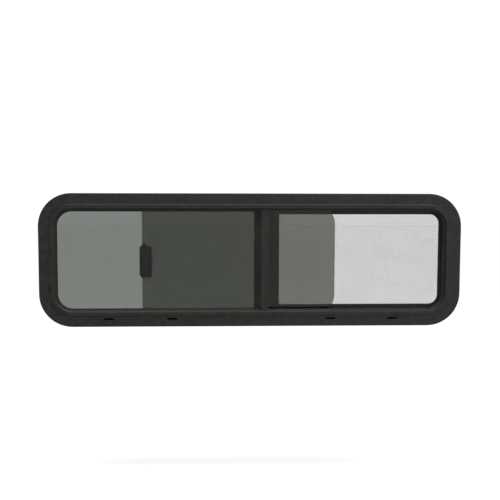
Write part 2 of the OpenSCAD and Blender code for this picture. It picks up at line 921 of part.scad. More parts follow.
// Lever: a ribbed thumb plate on the pin, with a barb that catches the keeper
module lever_section() {
    polygon(rounded([
        [-latch_wrap + lever_in, latch_back, soft_r],
        [latch_right + lever_in, latch_back, soft_r],
        [latch_right + lever_in, plate_top, edge_r],
        [barb_x + barb_w, plate_top],
        [barb_x + barb_w, plate_top + barb_d - barb_slope],
        [barb_x + barb_w / 3, plate_top + barb_d, fine_r],
        [barb_x, plate_top + barb_d, fine_r],
        [barb_x, plate_top],
        [pin_x + boss_w / 2, plate_top],
        [pin_x + boss_w / 2, pin_level + boss_over, 1.5 * soft_r],
        [pin_x - boss_w / 2, pin_level + boss_over, 1.5 * soft_r],
        [pin_x - boss_w / 2, plate_top],
        [-latch_wrap + lever_in, plate_top, edge_r]
    ]));
    for (i = [0 : rib_count - 1])
        translate([latch_right - 2 * lever_in - i * rib_pitch, latch_back]) circle(rib_r);
}

module latch_lever() {
    color("#2a2a29") upright() at_latch() difference() {
        stile(lever_h) lever_section();
        pin_bore();
    }
}

// Keeper on the post: a strip whose turned end sits behind the barb when the pane is shut
module latch_keeper() {
    color("#8b8d8a") upright() translate([0, latch_y, 0]) stile(keeper_h)
        polygon([
            [hook_x - keeper_t, strip_level + keeper_t],
            [post_x, strip_level + keeper_t],
            [post_x, screen_back],
            [post_x - keeper_t, screen_back],
            [post_x - keeper_t, strip_level],
            [hook_x, strip_level],
            [hook_x, strip_level - hook_d],
            [hook_x - keeper_t, strip_level - hook_d]
        ]);
}

outer_frame();
fixed_glass();
glazing_gasket();
mullion();
mullion_bead();
mullion_pile();
mullion_screws();
run_channel_head();
run_channel_sill();
run_channel_jamb();
closing_seal();
pane_stops();
screen_post();
screen_post_screws();
screen_frame();
screen_spline();
screen_mesh();
screen_clips();
latch_keeper();
clamp_ring_head();
clamp_ring_sill();
clamp_ring_left();
clamp_ring_right();
clamp_ring_screws();
sliding_glass();
latch_body();
latch_clamp();
latch_screws();
latch_pin();
latch_lever();
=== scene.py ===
# %% [markdown]
# # A half-slider window for the rear wall of a truck camper
#
# The window is a long black frame with round corners. Its left half holds a fixed tinted pane. A second
# tinted pane slides behind it in a lined track, and an insect screen covers the opening.
# The construction is ready: every bar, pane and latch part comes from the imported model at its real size
# and place. This lesson gives those parts their finishes, and makes the few things that are too small or
# too many for solid modelling: the woven mesh, its cord, the brush strip and the crossed screw heads.

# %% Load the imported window
import math

import bmesh
import bpy
from mathutils import Matrix, Vector


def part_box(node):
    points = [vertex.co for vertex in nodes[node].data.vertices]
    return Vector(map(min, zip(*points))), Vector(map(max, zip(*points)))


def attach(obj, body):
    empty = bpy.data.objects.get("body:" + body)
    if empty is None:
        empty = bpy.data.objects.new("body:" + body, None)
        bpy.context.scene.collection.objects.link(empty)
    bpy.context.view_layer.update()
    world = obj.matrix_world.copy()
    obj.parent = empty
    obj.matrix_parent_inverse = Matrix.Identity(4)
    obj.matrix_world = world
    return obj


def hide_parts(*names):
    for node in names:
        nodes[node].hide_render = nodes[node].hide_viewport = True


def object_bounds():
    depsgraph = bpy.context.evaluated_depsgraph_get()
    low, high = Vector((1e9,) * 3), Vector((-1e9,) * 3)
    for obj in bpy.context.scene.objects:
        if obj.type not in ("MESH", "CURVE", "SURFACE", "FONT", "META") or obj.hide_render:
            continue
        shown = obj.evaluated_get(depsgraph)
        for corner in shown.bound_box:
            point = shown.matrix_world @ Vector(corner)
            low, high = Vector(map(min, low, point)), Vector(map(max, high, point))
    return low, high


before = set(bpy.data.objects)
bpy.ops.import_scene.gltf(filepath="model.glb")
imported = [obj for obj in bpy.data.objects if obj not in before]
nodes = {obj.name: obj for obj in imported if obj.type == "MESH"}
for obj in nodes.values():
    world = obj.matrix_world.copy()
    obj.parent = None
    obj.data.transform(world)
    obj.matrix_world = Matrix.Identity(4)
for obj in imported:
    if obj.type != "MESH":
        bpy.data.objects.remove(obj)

scene = bpy.context.scene
cad_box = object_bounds()
MM = 0.001
print(f"{len(nodes)} parts, overall {[round((b - a) / MM, 1) for a, b in zip(*cad_box)]} mm")

# %% [markdown]
# ## Two small tools
#
# A paint chart or a photo gives colours as sRGB hex codes, while shaders work with linear light, so one
# function turns a code into linear values. A second one adds a node to any tree: its own settings are
# named, and its inputs are given as plain values, or as the node or socket that feeds them. It serves
# materials, the studio's light and Geometry Nodes alike.

# %% Colour and node tools


def linear(code):
    """The linear colour of an sRGB hex code such as #2b2b2a."""
    channels = [int(code[i:i + 2], 16) / 255 for i in (1, 3, 5)]
    return (*(c / 12.92 if c <= 0.04045 else ((c + 0.055) / 1.055) ** 2.4 for c in channels), 1)


def add(tree, kind, inputs=None, **settings):
    """Adds a node. An input is a value, a node, a socket, or a list of nodes for a socket that takes several."""
    node = tree.nodes.new(kind)
    for name, value in settings.items():
        setattr(node, name, value)
    for key, value in (inputs or {}).items():
        socket = node.inputs[key]
        for source in value if isinstance(value, list) else [value]:
            if isinstance(source, bpy.types.Node):
                source = source.outputs[0]
            if isinstance(source, bpy.types.NodeSocket):
                tree.links.new(source, socket)
            else:
                socket.default_value = source
    return node


def start_material(name):
    """A new material with only an output and the shader that feeds it, and object coordinates in metres."""
    material = bpy.data.materials.new(name)
    material.use_nodes = True
    tree = material.node_tree
    tree.nodes.clear()
    shader = add(tree, "ShaderNodeBsdfPrincipled")
    add(tree, "ShaderNodeOutputMaterial", {"Surface": shader})
    place = add(tree, "ShaderNodeTexCoord").outputs["Object"]
    return material, tree, shader, place


print("black of the frame in linear light:", [round(c, 4) for c in linear("#1d1d1c")[:3]])

# %% [markdown]
# ## Powder-coated aluminium
#
# The frame, the mullion, the screen's bars and the clamp ring are extruded aluminium, sprayed with black
# powder and baked. The powder melts into a satin skin with a faint orange peel, a ripple of a millimetre or
# two, and its gloss varies a little where the coat is thicker. Black paint shows little colour of its own:
# nearly all that the eye sees is the soft reflection of the studio. The ripple is a fine noise in the bump,
# and a second noise, of about 12 mm, mottles the gloss and the tone.

# %% Powder-coated aluminium

PEEL = 1.6 * MM
MOTTLE = 12 * MM
PEEL_DEPTH = 0.05 * MM


def powder_coated_aluminium(name, dark, pale, gloss):
    material, tree, shader, place = start_material(name)
    mottle = add(tree, "ShaderNodeTexNoise", {"Vector": place, "Scale": 1 / MOTTLE, "Detail": 4.0, "Roughness": 0.6})
    peel = add(tree, "ShaderNodeTexNoise", {"Vector": place, "Scale": 1 / PEEL, "Detail": 1.0})
    spread = add(tree, "ShaderNodeMapRange", {"Value": mottle, 1: 0.35, 2: 0.65})
    tone = add(tree, "ShaderNodeMix", {0: spread, 6: linear(dark), 7: linear(pale)}, data_type="RGBA")
    rough = add(tree, "ShaderNodeMapRange", {"Value": mottle, 1: 0.3, 2: 0.7, 3: gloss - 0.05, 4: gloss + 0.06})
    bump = add(tree, "ShaderNodeBump", {"Height": peel, "Strength": 0.35, "Distance": PEEL_DEPTH})
    tree.links.new(tone.outputs[2], shader.inputs["Base Color"])
    tree.links.new(rough.outputs[0], shader.inputs["Roughness"])
    tree.links.new(bump.outputs[0], shader.inputs["Normal"])
    shader.inputs["IOR"].default_value = 1.5
    return material


frame_coat = powder_coated_aluminium("powder_coated_frame", "#171716", "#242321", 0.42)
bar_coat = powder_coated_aluminium("powder_coated_bars", "#191918", "#222221", 0.45)
ring_coat = powder_coated_aluminium("powder_coated_ring", "#1f1f1e", "#2a2a28", 0.4)
print("peel", PEEL / MM, "mm, mottle", MOTTLE / MM, "mm")

# %% [markdown]
# ## Tinted tempered glass
#
# Both panes are body-tinted safety glass, 4 mm thick and grey-green: about a fifth of the light comes through
# each, and about a twentieth through both. The shader takes half of the tint on the way in and half on the way
# out, so its colour is what the whole pane lets through. Glass could be drawn as a thin see-through sheet, but
# these panes are real solids, so a full transmission shader bends the light at both faces and gives the bright
# ground edge. Tempering leaves a roller wave, a ripple some 250 mm long and a few hundredths of a millimetre
# deep, which bends the reflections a little.

# %% Tinted glass

ROLLER_WAVE = 250 * MM
ROLLER_DEPTH = 0.02 * MM
BANDS = 3.2  # bands of the wave texture in one unit of its scale
FIXED_TINT, SLIDING_TINT = "#7a7e7a", "#878782"


def tinted_tempered_glass(name, tint):
    material, tree, shader, place = start_material(name)
    wave = add(tree, "ShaderNodeTexWave",
               {"Vector": place, "Scale": 1 / (ROLLER_WAVE * BANDS), "Distortion": 2.0, "Detail": 1.0})
    bump = add(tree, "ShaderNodeBump", {"Height": wave, "Strength": 0.2, "Distance": ROLLER_DEPTH})
    tree.links.new(bump.outputs[0], shader.inputs["Normal"])
    shader.inputs["Base Color"].default_value = linear(tint)
    shader.inputs["Roughness"].default_value = 0.0
    shader.inputs["IOR"].default_value = 1.52
    shader.inputs["Transmission Weight"].default_value = 1.0
    return material


fixed_tint = tinted_tempered_glass("tinted_glass_fixed", FIXED_TINT)
sliding_tint = tinted_tempered_glass("tinted_glass_sliding", SLIDING_TINT)
print("light let through by the fixed pane:", [round(c, 2) for c in linear(FIXED_TINT)[:3]])

# %% [markdown]
# ## Rubber, lining and pile
#
# The gasket, the mullion's bead, the stops and the closing seal are extruded EPDM rubber: olive black, quite
# dull, with a pale bloom that comes and goes along the length. The run channels are the same rubber with a
# flocked lining, short fibres that scatter light like velvet, so they get a sheen and a fuzzy bump. One
# function covers the three, because they differ only in colour, dullness, fibre size and sheen.

# %% Soft parts

BLOOM = 30 * MM


def soft_extrusion(name, dark, pale, rough, grain, depth, sheen):
    material, tree, shader, place = start_material(name)
    bloom = add(tree, "ShaderNodeTexNoise", {"Vector": place, "Scale": 1 / BLOOM, "Detail": 3.0})
    fibre = add(tree, "ShaderNodeTexNoise", {"Vector": place, "Scale": 1 / grain, "Detail": 2.0})
    spread = add(tree, "ShaderNodeMapRange", {"Value": bloom, 1: 0.35, 2: 0.7})
    tone = add(tree, "ShaderNodeMix", {0: spread, 6: linear(dark), 7: linear(pale)}, data_type="RGBA")
    bump = add(tree, "ShaderNodeBump", {"Height": fibre, "Strength": 0.6, "Distance": depth})
    tree.links.new(tone.outputs[2], shader.inputs["Base Color"])
    tree.links.new(bump.outputs[0], shader.inputs["Normal"])
    shader.inputs["Roughness"].default_value = rough
    shader.inputs["Specular IOR Level"].default_value = 0.35
    shader.inputs["Sheen Weight"].default_value = sheen
    return material


epdm = soft_extrusion("extruded_rubber", "#15160f", "#1f2019", 0.7, 0.8 * MM, 0.04 * MM, 0.0)
flock = soft_extrusion("flocked_lining", "#141413", "#1d1d1b", 0.9, 0.5 * MM, 0.15 * MM, 0.3)
pile = soft_extrusion("woven_pile", "#2c2c2a", "#41413e", 0.95, 0.4 * MM, 0.1 * MM, 0.4)
print("bloom", BLOOM / MM, "mm")

# %% [markdown]
# ## Moulded plastic, zinc plate and coated fibre
#
# The latch and the screen's clips are moulded ABS with a spark-eroded grain, which makes black plastic look
# greyer and softer than gloss black. Screws, pin and keeper are zinc-plated steel: a metal, with the short
# scratches of the barrel they were plated in. The mesh is glass-fibre yarn in a charcoal vinyl coat.

# %% Hard small parts

CLOUD = 8 * MM
SCRATCH = 1.2 * MM
GRAIN = 0.9 * MM


def moulded_plastic(name, dark, pale, rough, grain):
    material, tree, shader, place = start_material(name)
    cells = add(tree, "ShaderNodeTexVoronoi", {"Vector": place, "Scale": 1 / grain})
    cloud = add(tree, "ShaderNodeTexNoise", {"Vector": place, "Scale": 1 / CLOUD})
    tone = add(tree, "ShaderNodeMix", {0: cloud, 6: linear(dark), 7: linear(pale)}, data_type="RGBA")
    bump = add(tree, "ShaderNodeBump", {"Height": cells, "Strength": 0.4, "Distance": 0.03 * MM})
    tree.links.new(tone.outputs[2], shader.inputs["Base Color"])
    tree.links.new(bump.outputs[0], shader.inputs["Normal"])
    shader.inputs["Roughness"].default_value = rough
    shader.inputs["IOR"].default_value = 1.53
    return material


def zinc_plated_steel(name):
    material, tree, shader, place = start_material(name)
    stretched = add(tree, "ShaderNodeMapping", {"Vector": place, "Scale": (1.0, 1.0, 6.0)})
    scratch = add(tree, "ShaderNodeTexNoise", {"Vector": stretched, "Scale": 1 / SCRATCH, "Detail": 3.0})
    tone = add(tree, "ShaderNodeMix", {0: scratch, 6: linear("#8d8f8c"), 7: linear("#b4b5b0")}, data_type="RGBA")
    rough = add(tree, "ShaderNodeMapRange", {"Value": scratch, 3: 0.28, 4: 0.5})
    tree.links.new(tone.outputs[2], shader.inputs["Base Color"])
    tree.links.new(rough.outputs[0], shader.inputs["Roughness"])
    shader.inputs["Metallic"].default_value = 1.0
    return material


abs_black = moulded_plastic("moulded_abs", "#101010", "#1a1a19", 0.48, GRAIN)
fibre_coat = moulded_plastic("vinyl_coated_fibre", "#202122", "#2b2c2d", 0.6, 2 * MM)
zinc = zinc_plated_steel("zinc_plated_steel")
print("plastic grain", GRAIN / MM, "mm")

# %% [markdown]
# ## Dressing the solid parts
#
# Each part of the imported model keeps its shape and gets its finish. The list goes by what the part is made
# of, so that a missing part would be noticed at once.

# %% Dress the solid parts

FINISHES = {
    frame_coat: ["outer_frame"],
    bar_coat: ["mullion", "screen_post", "screen_frame"],
    ring_coat: ["clamp_ring_head", "clamp_ring_sill", "clamp_ring_left", "clamp_ring_right"],
    fixed_tint: ["fixed_glass"],
    sliding_tint: ["sliding_glass"],
    epdm: ["glazing_gasket", "mullion_bead", "closing_seal", "pane_stops", "screen_spline"],
    flock: ["run_channel_head", "run_channel_sill", "run_channel_jamb"],
    pile: ["mullion_pile"],
    zinc: ["mullion_screws", "screen_post_screws", "clamp_ring_screws", "latch_screws", "latch_pin", "latch_keeper"],
    fibre_coat: ["screen_mesh"],
    abs_black: ["screen_clips", "latch_body", "latch_clamp", "latch_lever"],
}
for material, names in FINISHES.items():
    for name in names:
        nodes[name].material_slots[0].material = material
dressed = [name for names in FINISHES.values() for name in names]
print(f"{len(dressed)} parts dressed, left out: {sorted(set(nodes) - set(dressed))}")

# %% [markdown]
# ## Growing small things with Geometry Nodes
#
# Threads, bristles and screws repeat by a rule, so each kind is one node tree whose inputs are its real sizes.
# The tree could stay live on the object, but a plain mesh is what moves and exports well, so the result is
# turned into one and the modifier goes. The first helper starts a tree with named inputs, and the second
# runs it, on points or on a path where the tree needs them.

# %% Tools for node trees

INPUT_KINDS = {"Finish": "NodeSocketMaterial", "Seed": "NodeSocketInt", "Centre": "NodeSocketVector",
               "Seats": "NodeSocketGeometry"}


def start_tree(name, *inputs):
    """A Geometry Nodes tree with these inputs: numbers, apart from the few kinds listed above."""
    tree = bpy.data.node_groups.new(name, "GeometryNodeTree")
    tree.interface.new_socket("Geometry", in_out="OUTPUT", socket_type="NodeSocketGeometry")
    for label in inputs:
        tree.interface.new_socket(label, in_out="INPUT", socket_type=INPUT_KINDS.get(label, "NodeSocketFloat"))
    return tree, add(tree, "NodeGroupInput").outputs


def end_tree(tree, geometry, finish):
    """Every tree ends alike: instances made real, a finish set, and the result handed out."""
    real = add(tree, "GeometryNodeRealizeInstances", {0: geometry})
    painted = add(tree, "GeometryNodeSetMaterial", {"Geometry": real, "Material": finish})
    add(tree, "NodeGroupOutput", {0: painted})


def grow(name, tree, sizes, points=(), edges=()):
    """Runs a tree with these sizes and returns the result as a plain mesh object."""
    mesh = bpy.data.meshes.new(name + "_start")
    mesh.from_pydata(points, edges, [])
    piece = bpy.data.objects.new(name, mesh)
    scene.collection.objects.link(piece)
    modifier = piece.modifiers.new("grow", "NODES")
    modifier.node_group = tree
    for item in tree.interface.items_tree:
        if item.in_out == "INPUT" and item.name in sizes:
            modifier[item.identifier] = sizes[item.name]
    bpy.context.view_layer.update()
    grown = bpy.data.meshes.new_from_object(piece.evaluated_get(bpy.context.evaluated_depsgraph_get()))
    piece.modifiers.remove(modifier)
    piece.data = grown
    grown.name = name
    grown.calc_loop_triangles()
    print(f"{name}: {len(grown.loop_triangles)} triangles")
    return piece


print("inputs that aren't plain numbers:", sorted(INPUT_KINDS))

# %% [markdown]
# ## The insect mesh
#
# Window mesh is woven from coated glass-fibre yarn, about 17 threads to the inch. Warp and weft are heated
# until their coats fuse where they cross, which keeps the holes square. Some 500 threads would bend over and
# under each other at 57,000 crossings, far too many for a mesh that no eye resolves, so each thread is a
# straight six-sided rod and the two layers sink into each other as fused threads do. The real pitch and
# thickness are kept, because they decide how much light comes through. Each thread wanders a little to the
# side, as in a real weave, which also keeps the fine pattern from beating with the picture's own grid. A rod's
# length comes from where it lies: near the rounded end of the screen it is cut to the arc.

# %% Weave the insect mesh

MESH_PITCH = 1.5 * MM
THREAD = 0.36 * MM
FUSED = 0.15 * MM
WANDER = 0.2 * MM
SCREEN_CORNER = 29.5 * MM

tree, size = start_tree("Woven mesh", "Width", "Height", "Corner", "Pitch", "Thread", "Fused", "Wander",
                        "Seed", "Centre", "Finish")
half_width = add(tree, "ShaderNodeMath", {0: size["Width"], 1: 0.5}, operation="MULTIPLY")
half_height = add(tree, "ShaderNodeMath", {0: size["Height"], 1: 0.5}, operation="MULTIPLY")
thread_radius = add(tree, "ShaderNodeMath", {0: size["Thread"], 1: 0.5}, operation="MULTIPLY")
corner_squared = add(tree, "ShaderNodeMath", {0: size["Corner"], 1: 2.0}, operation="POWER")
rod = add(tree, "GeometryNodeMeshCylinder", {"Vertices": 6, "Radius": thread_radius, "Depth": 1.0})
layers = []
for axis in ("warp", "weft"):
    upright = axis == "warp"
    across, along = (half_width, half_height) if upright else (half_height, half_width)
    span = add(tree, "ShaderNodeMath", {0: across, 1: 2.0}, operation="MULTIPLY")
    count = add(tree, "ShaderNodeMath", {0: span, 1: size["Pitch"]}, operation="DIVIDE")
    first = add(tree, "ShaderNodeMath", {0: across, 1: -1.0}, operation="MULTIPLY")
    step = add(tree, "ShaderNodeCombineXYZ", {("X" if upright else "Z"): size["Pitch"]})
    begin = add(tree, "ShaderNodeCombineXYZ", {("X" if upright else "Z"): first})
    row = add(tree, "GeometryNodeMeshLine", {"Count": count, "Start Location": begin, "Offset": step})
    drift = {2: add(tree, "ShaderNodeMath", {0: size["Wander"], 1: -1.0}, operation="MULTIPLY"), 3: size["Wander"]}
    drifted = add(tree, "FunctionNodeRandomValue", {**drift, "Seed": size["Seed"]}).outputs[1]
    aside = add(tree, "ShaderNodeCombineXYZ", {("X" if upright else "Z"): drifted})
    row = add(tree, "GeometryNodeSetPosition", {"Geometry": row, "Offset": aside})
    place = add(tree, "ShaderNodeSeparateXYZ", {0: add(tree, "GeometryNodeInputPosition")})
    here = place.outputs["X" if upright else "Z"]
    if not upright:
        here = add(tree, "ShaderNodeMath", {0: here}, operation="ABSOLUTE")
    # How far the thread lies inside the corner's arc, and how long that leaves it on one side
    bend = add(tree, "ShaderNodeMath", {0: across, 1: size["Corner"]}, operation="SUBTRACT")
    past_bend = add(tree, "ShaderNodeMath", {0: here, 1: bend}, operation="SUBTRACT")
    inside = add(tree, "ShaderNodeMath", {0: past_bend, 1: 0.0}, operation="MAXIMUM")
    inside_squared = add(tree, "ShaderNodeMath", {0: inside, 1: 2.0}, operation="POWER")
    rest = add(tree, "ShaderNodeMath", {0: corner_squared, 1: inside_squared}, operation="SUBTRACT")
    rise = add(tree, "ShaderNodeMath", {0: add(tree, "ShaderNodeMath", {0: rest, 1: 0.0}, operation="MAXIMUM")},
               operation="SQRT")
    straight = add(tree, "ShaderNodeMath", {0: along, 1: size["Corner"]}, operation="SUBTRACT")
    reach = add(tree, "ShaderNodeMath", {0: straight, 1: rise}, operation="ADD")
    if upright:
        length = add(tree, "ShaderNodeMath", {0: reach, 1: 2.0}, operation="MULTIPLY")
        depth, turned = 0.0, (0.0, 0.0, 0.0)
        moved = row
    else:
        # The screen's left end is square, so a weft thread ends at the arc on the right only
        length = add(tree, "ShaderNodeMath", {0: reach, 1: along}, operation="ADD")
        gap = add(tree, "ShaderNodeMath", {0: reach, 1: along}, operation="SUBTRACT")
        middle = add(tree, "ShaderNodeMath", {0: gap, 1: 0.5}, operation="MULTIPLY")
        lift = add(tree, "ShaderNodeMath", {0: size["Thread"], 1: size["Fused"]}, operation="SUBTRACT")
        shift = add(tree, "ShaderNodeCombineXYZ", {"X": middle, "Y": lift})
        moved = add(tree, "GeometryNodeSetPosition", {"Geometry": row, "Offset": shift})
        turned = (0.0, math.radians(90), 0.0)
    stretch = add(tree, "ShaderNodeCombineXYZ", {"X": 1.0, "Y": 1.0, "Z": length})
    layers.append(add(tree, "GeometryNodeInstanceOnPoints",
                      {"Points": moved, "Instance": rod, "Rotation": turned, "Scale": stretch}))
woven = add(tree, "GeometryNodeJoinGeometry", {0: layers})
placed = add(tree, "GeometryNodeTransform", {0: woven, "Translation": size["Centre"]})
end_tree(tree, placed, size["Finish"])

mesh_low, mesh_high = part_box("screen_mesh")
mesh_size = mesh_high - mesh_low
mesh_centre = (mesh_low + mesh_high) / 2
mesh_centre.y = mesh_low.y + THREAD / 2
insect_mesh = grow("insect_mesh", tree, {
    "Width": mesh_size.x, "Height": mesh_size.z, "Corner": SCREEN_CORNER, "Pitch": MESH_PITCH, "Thread": THREAD,
    "Fused": FUSED, "Wander": WANDER, "Seed": 11, "Centre": mesh_centre, "Finish": fibre_coat})
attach(insect_mesh, "fixed_frame")
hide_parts("screen_mesh")
print(f"open area {100 * (1 - THREAD / MESH_PITCH) ** 2:.0f}% of the mesh")

# %% [markdown]
# ## The spline cord
#
# A cord of soft vinyl is rolled into the groove of the screen frame and traps the mesh. It is extruded with
# teeth all round so that it grips, which shows at the back of the window. Its path is the groove's middle
# line, with small bends at the two square corners. A star drawn along the path makes the whole cord in one
# go, where a modelled one would have to be bent by hand.

# %% Lay the spline cord

CORD_TEETH = 9
CORD_BEND = 3 * MM
CORD_HALF = 1.6 * MM
CORD_TOOTH = 0.3 * MM


def arc(x, z, radius, start, steps=10):
    """Points of a quarter turn about x, z that starts at this many degrees and goes clockwise."""
    return [(x + radius * math.cos(math.radians(start - 90 * i / steps)),
             z + radius * math.sin(math.radians(start - 90 * i / steps))) for i in range(steps + 1)]


cord_low, cord_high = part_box("screen_spline")
x0, x1 = cord_low.x + CORD_HALF, cord_high.x - CORD_HALF
z0, z1 = cord_low.z + CORD_HALF, cord_high.z - CORD_HALF
round_end = SCREEN_CORNER + CORD_HALF
path = (arc(x0 + CORD_BEND, z1 - CORD_BEND, CORD_BEND, 180) + arc(x1 - round_end, z1 - round_end, round_end, 90)
        + arc(x1 - round_end, z0 + round_end, round_end, 0) + arc(x0 + CORD_BEND, z0 + CORD_BEND, CORD_BEND, -90))
cord_y = (cord_low.y + cord_high.y) / 2
cord_points = [(x, cord_y, z) for x, z in path]
cord_edges = [(i, (i + 1) % len(path)) for i in range(len(path))]

tree, size = start_tree("Toothed cord", "Seats", "Half width", "Half depth", "Tooth", "Finish")
run = add(tree, "GeometryNodeMeshToCurve", {"Mesh": size["Seats"]})
valley = add(tree, "ShaderNodeMath", {0: size["Half width"], 1: size["Tooth"]}, operation="SUBTRACT")
star = add(tree, "GeometryNodeCurveStar",
           {"Points": CORD_TEETH, "Inner Radius": valley, "Outer Radius": size["Half width"]})
deeper = add(tree, "ShaderNodeMath", {0: size["Half depth"], 1: size["Half width"]}, operation="DIVIDE")
oval = add(tree, "GeometryNodeTransform",
           {0: star, "Scale": add(tree, "ShaderNodeCombineXYZ", {"X": 1.0, "Y": deeper, "Z": 1.0})})
swept = add(tree, "GeometryNodeCurveToMesh", {"Curve": run, "Profile Curve": oval})
smooth = add(tree, "GeometryNodeSetShadeSmooth", {0: swept, "Shade Smooth": True})
end_tree(tree, smooth, size["Finish"])

spline_cord = grow("spline_cord", tree, {
    "Half width": CORD_HALF, "Half depth": (cord_high.y - cord_low.y) / 2, "Tooth": CORD_TOOTH, "Finish": epdm},
    cord_points, cord_edges)
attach(spline_cord, "fixed_frame")
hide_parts("screen_spline")
print(f"cord path {sum(math.dist(cord_points[a], cord_points[b]) for a, b in cord_edges) / MM:.0f} mm long")

# %% [markdown]
# ## The brush strip
#
# A strip of woven pile on the back of the mullion wipes the sliding pane and keeps the draught out. Its tufts
# stand in rows on a woven base and lean a little, each its own way. The tufts are thin three-sided cones, set
# out on a grid and leaned by a random value with a fixed seed, so that every run gives the same brush.

# %% Plant the brush strip

TUFT_PITCH = 0.75 * MM
TUFT_ROWS = 5
TUFT_LEAN = math.radians(7)
BRUSH_BASE = 1 * MM
BRUSH_SPARE = 0.1 * MM
BRUSH_ENDS = 1 * MM

tree, size = start_tree("Pile brush", "Length", "Base width", "Base depth", "Brush width", "Brush depth", "Pitch",
                        "Lean", "Seed", "Centre", "Finish")
rows = add(tree, "ShaderNodeMath", {0: size["Length"], 1: size["Pitch"]}, operation="DIVIDE")
bed = add(tree, "GeometryNodeMeshGrid", {"Size X": size["Brush width"], "Size Y": size["Length"],
                                         "Vertices X": TUFT_ROWS, "Vertices Y": rows})
lower = add(tree, "ShaderNodeMath", {0: size["Lean"], 1: -1.0}, operation="MULTIPLY")
lean = []
for offset in range(3):
    seed = add(tree, "ShaderNodeMath", {0: size["Seed"], 1: float(offset)}, operation="ADD")
    spread = {2: lower, 3: size["Lean"]} if offset < 2 else {2: 0.9, 3: 1.0}
    lean.append(add(tree, "FunctionNodeRandomValue", {**spread, "Seed": seed}).outputs[1])
leaning = add(tree, "ShaderNodeCombineXYZ", {"X": lean[0], "Y": lean[1]})
shorter = add(tree, "ShaderNodeCombineXYZ", {"X": 1.0, "Y": 1.0, "Z": lean[2]})
tuft_radius = add(tree, "ShaderNodeMath", {0: size["Pitch"], 1: 0.55}, operation="MULTIPLY")
tuft = add(tree, "GeometryNodeMeshCone", {"Vertices": 3, "Radius Bottom": tuft_radius, "Depth": size["Brush depth"]})
tufts = add(tree, "GeometryNodeInstanceOnPoints",
            {"Points": bed, "Instance": tuft, "Rotation": leaning, "Scale": shorter})
woven_base = add(tree, "GeometryNodeMeshCube", {"Size": add(tree, "ShaderNodeCombineXYZ", {
    "X": size["Base width"], "Y": size["Length"], "Z": size["Base depth"]})})
under = add(tree, "ShaderNodeMath", {0: size["Base depth"], 1: -0.5}, operation="MULTIPLY")
base = add(tree, "GeometryNodeTransform",
           {0: woven_base, "Translation": add(tree, "ShaderNodeCombineXYZ", {"Z": under})})
brush = add(tree, "GeometryNodeJoinGeometry", {0: [tufts, base]})
# The brush is planted lying down and then turned so that its tufts point to the pane and its rows run upwards
stood = add(tree, "GeometryNodeTransform",
            {0: brush, "Translation": size["Centre"], "Rotation": (math.radians(-90), 0.0, 0.0)})
end_tree(tree, stood, size["Finish"])

pile_low, pile_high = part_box("mullion_pile")
pile_size = pile_high - pile_low
pile_brush = grow("pile_brush", tree, {
    "Length": pile_size.z - BRUSH_ENDS, "Base width": pile_size.x, "Base depth": BRUSH_BASE,
    "Brush width": pile_size.x / 2, "Brush depth": pile_size.y - BRUSH_BASE - BRUSH_SPARE, "Pitch": TUFT_PITCH,
    "Lean": TUFT_LEAN, "Seed": 7,
    "Centre": Vector(((pile_low.x + pile_high.x) / 2, pile_low.y + BRUSH_BASE, (pile_low.z + pile_high.z) / 2)),
    "Finish": pile})
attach(pile_brush, "fixed_frame")
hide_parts("mullion_pile")

# %% [markdown]
# ## The bead's wiper lip
#
# The rubber bead that grips the fixed pane's free edge ends in a thin lip, which lies flat on the glass and
# sheds the rain. It shows as the left part of the dark band beside the mullion. It is one small wedge drawn up
# the window: a section is swept along a straight line, and the ends are closed.

# %% Draw the wiper lip

LIP_REACH = 6.6 * MM
LIP_ROOT, LIP_TIP = 1.0 * MM, 0.4 * MM
LIP_UNDER = 0.5 * MM  # how far it runs in under the bead

bead_low, bead_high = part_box("mullion_bead")
glass_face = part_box("fixed_glass")[0].y
section = [(-LIP_REACH, 0), (-LIP_REACH, -LIP_TIP), (-LIP_REACH + LIP_TIP, -1.5 * LIP_TIP),
           (LIP_UNDER, -LIP_ROOT), (LIP_UNDER, 0)]
points = [(bead_low.x + x, glass_face + y, z) for z in (bead_low.z, bead_high.z) for x, y in section]
count = len(section)
sides = [(i, (i + 1) % count, (i + 1) % count + count, i + count) for i in range(count)]
mesh = bpy.data.meshes.new("bead_lip")
mesh.from_pydata(points, [], [*sides, tuple(reversed(range(count))), tuple(range(count, 2 * count))])
shape = bmesh.new()
shape.from_mesh(mesh)
bmesh.ops.recalc_face_normals(shape, faces=shape.faces)
shape.to_mesh(mesh)
shape.free()
mesh.materials.append(epdm)
bead_lip = bpy.data.objects.new("bead_lip", mesh)
scene.collection.objects.link(bead_lip)
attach(bead_lip, "fixed_frame")
print(f"lip {LIP_REACH / MM:.1f} mm wide and {(bead_high.z - bead_low.z) / MM:.0f} mm tall")

# %% [markdown]
# ## Crossed screws
#
# Fourteen screws draw the clamp ring up against the wall, two hold the post and two close the latch. They all
# have pan heads with a cross recess, so one tree makes them: a disc is extruded and shrunk in steps into a
# dome, two crossed bars are cut out of it, and a shank goes under it. Nobody lines up the crosses of real
# screws, so each is turned by a random angle.

# %% Make the screws

HEAD_SIDES, SHANK_SIDES = 28, 14
WELD = 0.001 * MM
CREASE = math.radians(35)
DOME = ((0.45, 1.0), (0.22, 0.95), (0.16, 0.86), (0.1, 0.72), (0.07, 0.5))  # share of the height, and shrink

